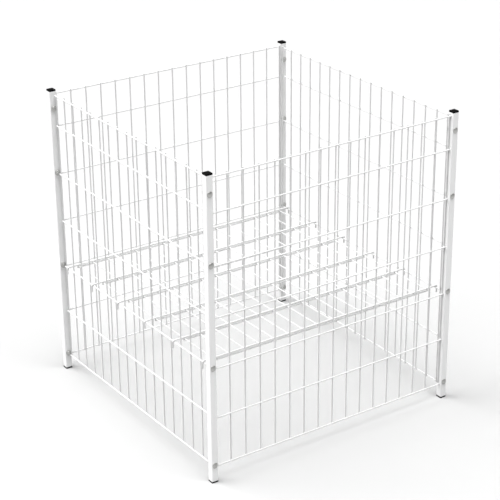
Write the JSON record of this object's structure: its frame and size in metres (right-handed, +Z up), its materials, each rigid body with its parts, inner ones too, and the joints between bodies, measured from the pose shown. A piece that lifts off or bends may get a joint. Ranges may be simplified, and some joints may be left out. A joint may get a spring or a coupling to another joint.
{
  "type": "retail dump bin",
  "caption": "Square open-topped wire-mesh dump bin on tube posts, with a lift-out wire shelf hooked on its side panels.",
  "frame": {"origin": "on the floor, at the centre of the bin", "axes": "+X to the right, +Y to the rear, +Z up; the front and rear panels span X and the bolted side panels span Y"},
  "size_m": [0.844, 0.8518, 0.91],
  "materials": {
    "white_powder_coat": "smooth semi-gloss white powder coat on steel",
    "black_plastic": "fine-grained black moulded polyethylene",
    "zinc_plate": "bright zinc-plated steel"
  },
  "bodies": {
    "bin": {"post_front_left": "white_powder_coat", "post_front_right": "white_powder_coat", "post_rear_left": "white_powder_coat", "post_rear_right": "white_powder_coat", "top_cap_front_left": "black_plastic", "top_cap_front_right": "black_plastic", "top_cap_rear_left": "black_plastic", "top_cap_rear_right": "black_plastic", "foot_front_left": "black_plastic", "foot_front_right": "black_plastic", "foot_rear_left": "black_plastic", "foot_rear_right": "black_plastic", "front_panel_uprights": "white_powder_coat", "front_panel_cross_wires": "white_powder_coat", "rear_panel_uprights": "white_powder_coat", "rear_panel_cross_wires": "white_powder_coat", "left_panel_uprights": "white_powder_coat", "left_panel_cross_wires": "white_powder_coat", "right_panel_uprights": "white_powder_coat", "right_panel_cross_wires": "white_powder_coat", "panel_bolts": "zinc_plate", "panel_weld_nuts": "zinc_plate"},
    "shelf": {"shelf_hook_rod_1": "white_powder_coat", "shelf_hook_rod_2": "white_powder_coat", "shelf_hook_rod_3": "white_powder_coat", "shelf_hook_rod_4": "white_powder_coat", "shelf_hook_rod_5": "white_powder_coat", "shelf_hook_rod_6": "white_powder_coat", "shelf_under_rod_1": "white_powder_coat", "shelf_under_rod_2": "white_powder_coat", "shelf_under_rod_3": "white_powder_coat", "shelf_under_rod_4": "white_powder_coat", "shelf_under_rod_5": "white_powder_coat", "shelf_under_rod_6": "white_powder_coat", "shelf_long_wires": "white_powder_coat"}
  },
  "joints": [
    {"name": "shelf_lift", "type": "slide", "parent": "bin", "child": "shelf", "axis": [0, 0, 1], "range_m": [0, 0.14]}
  ]
}
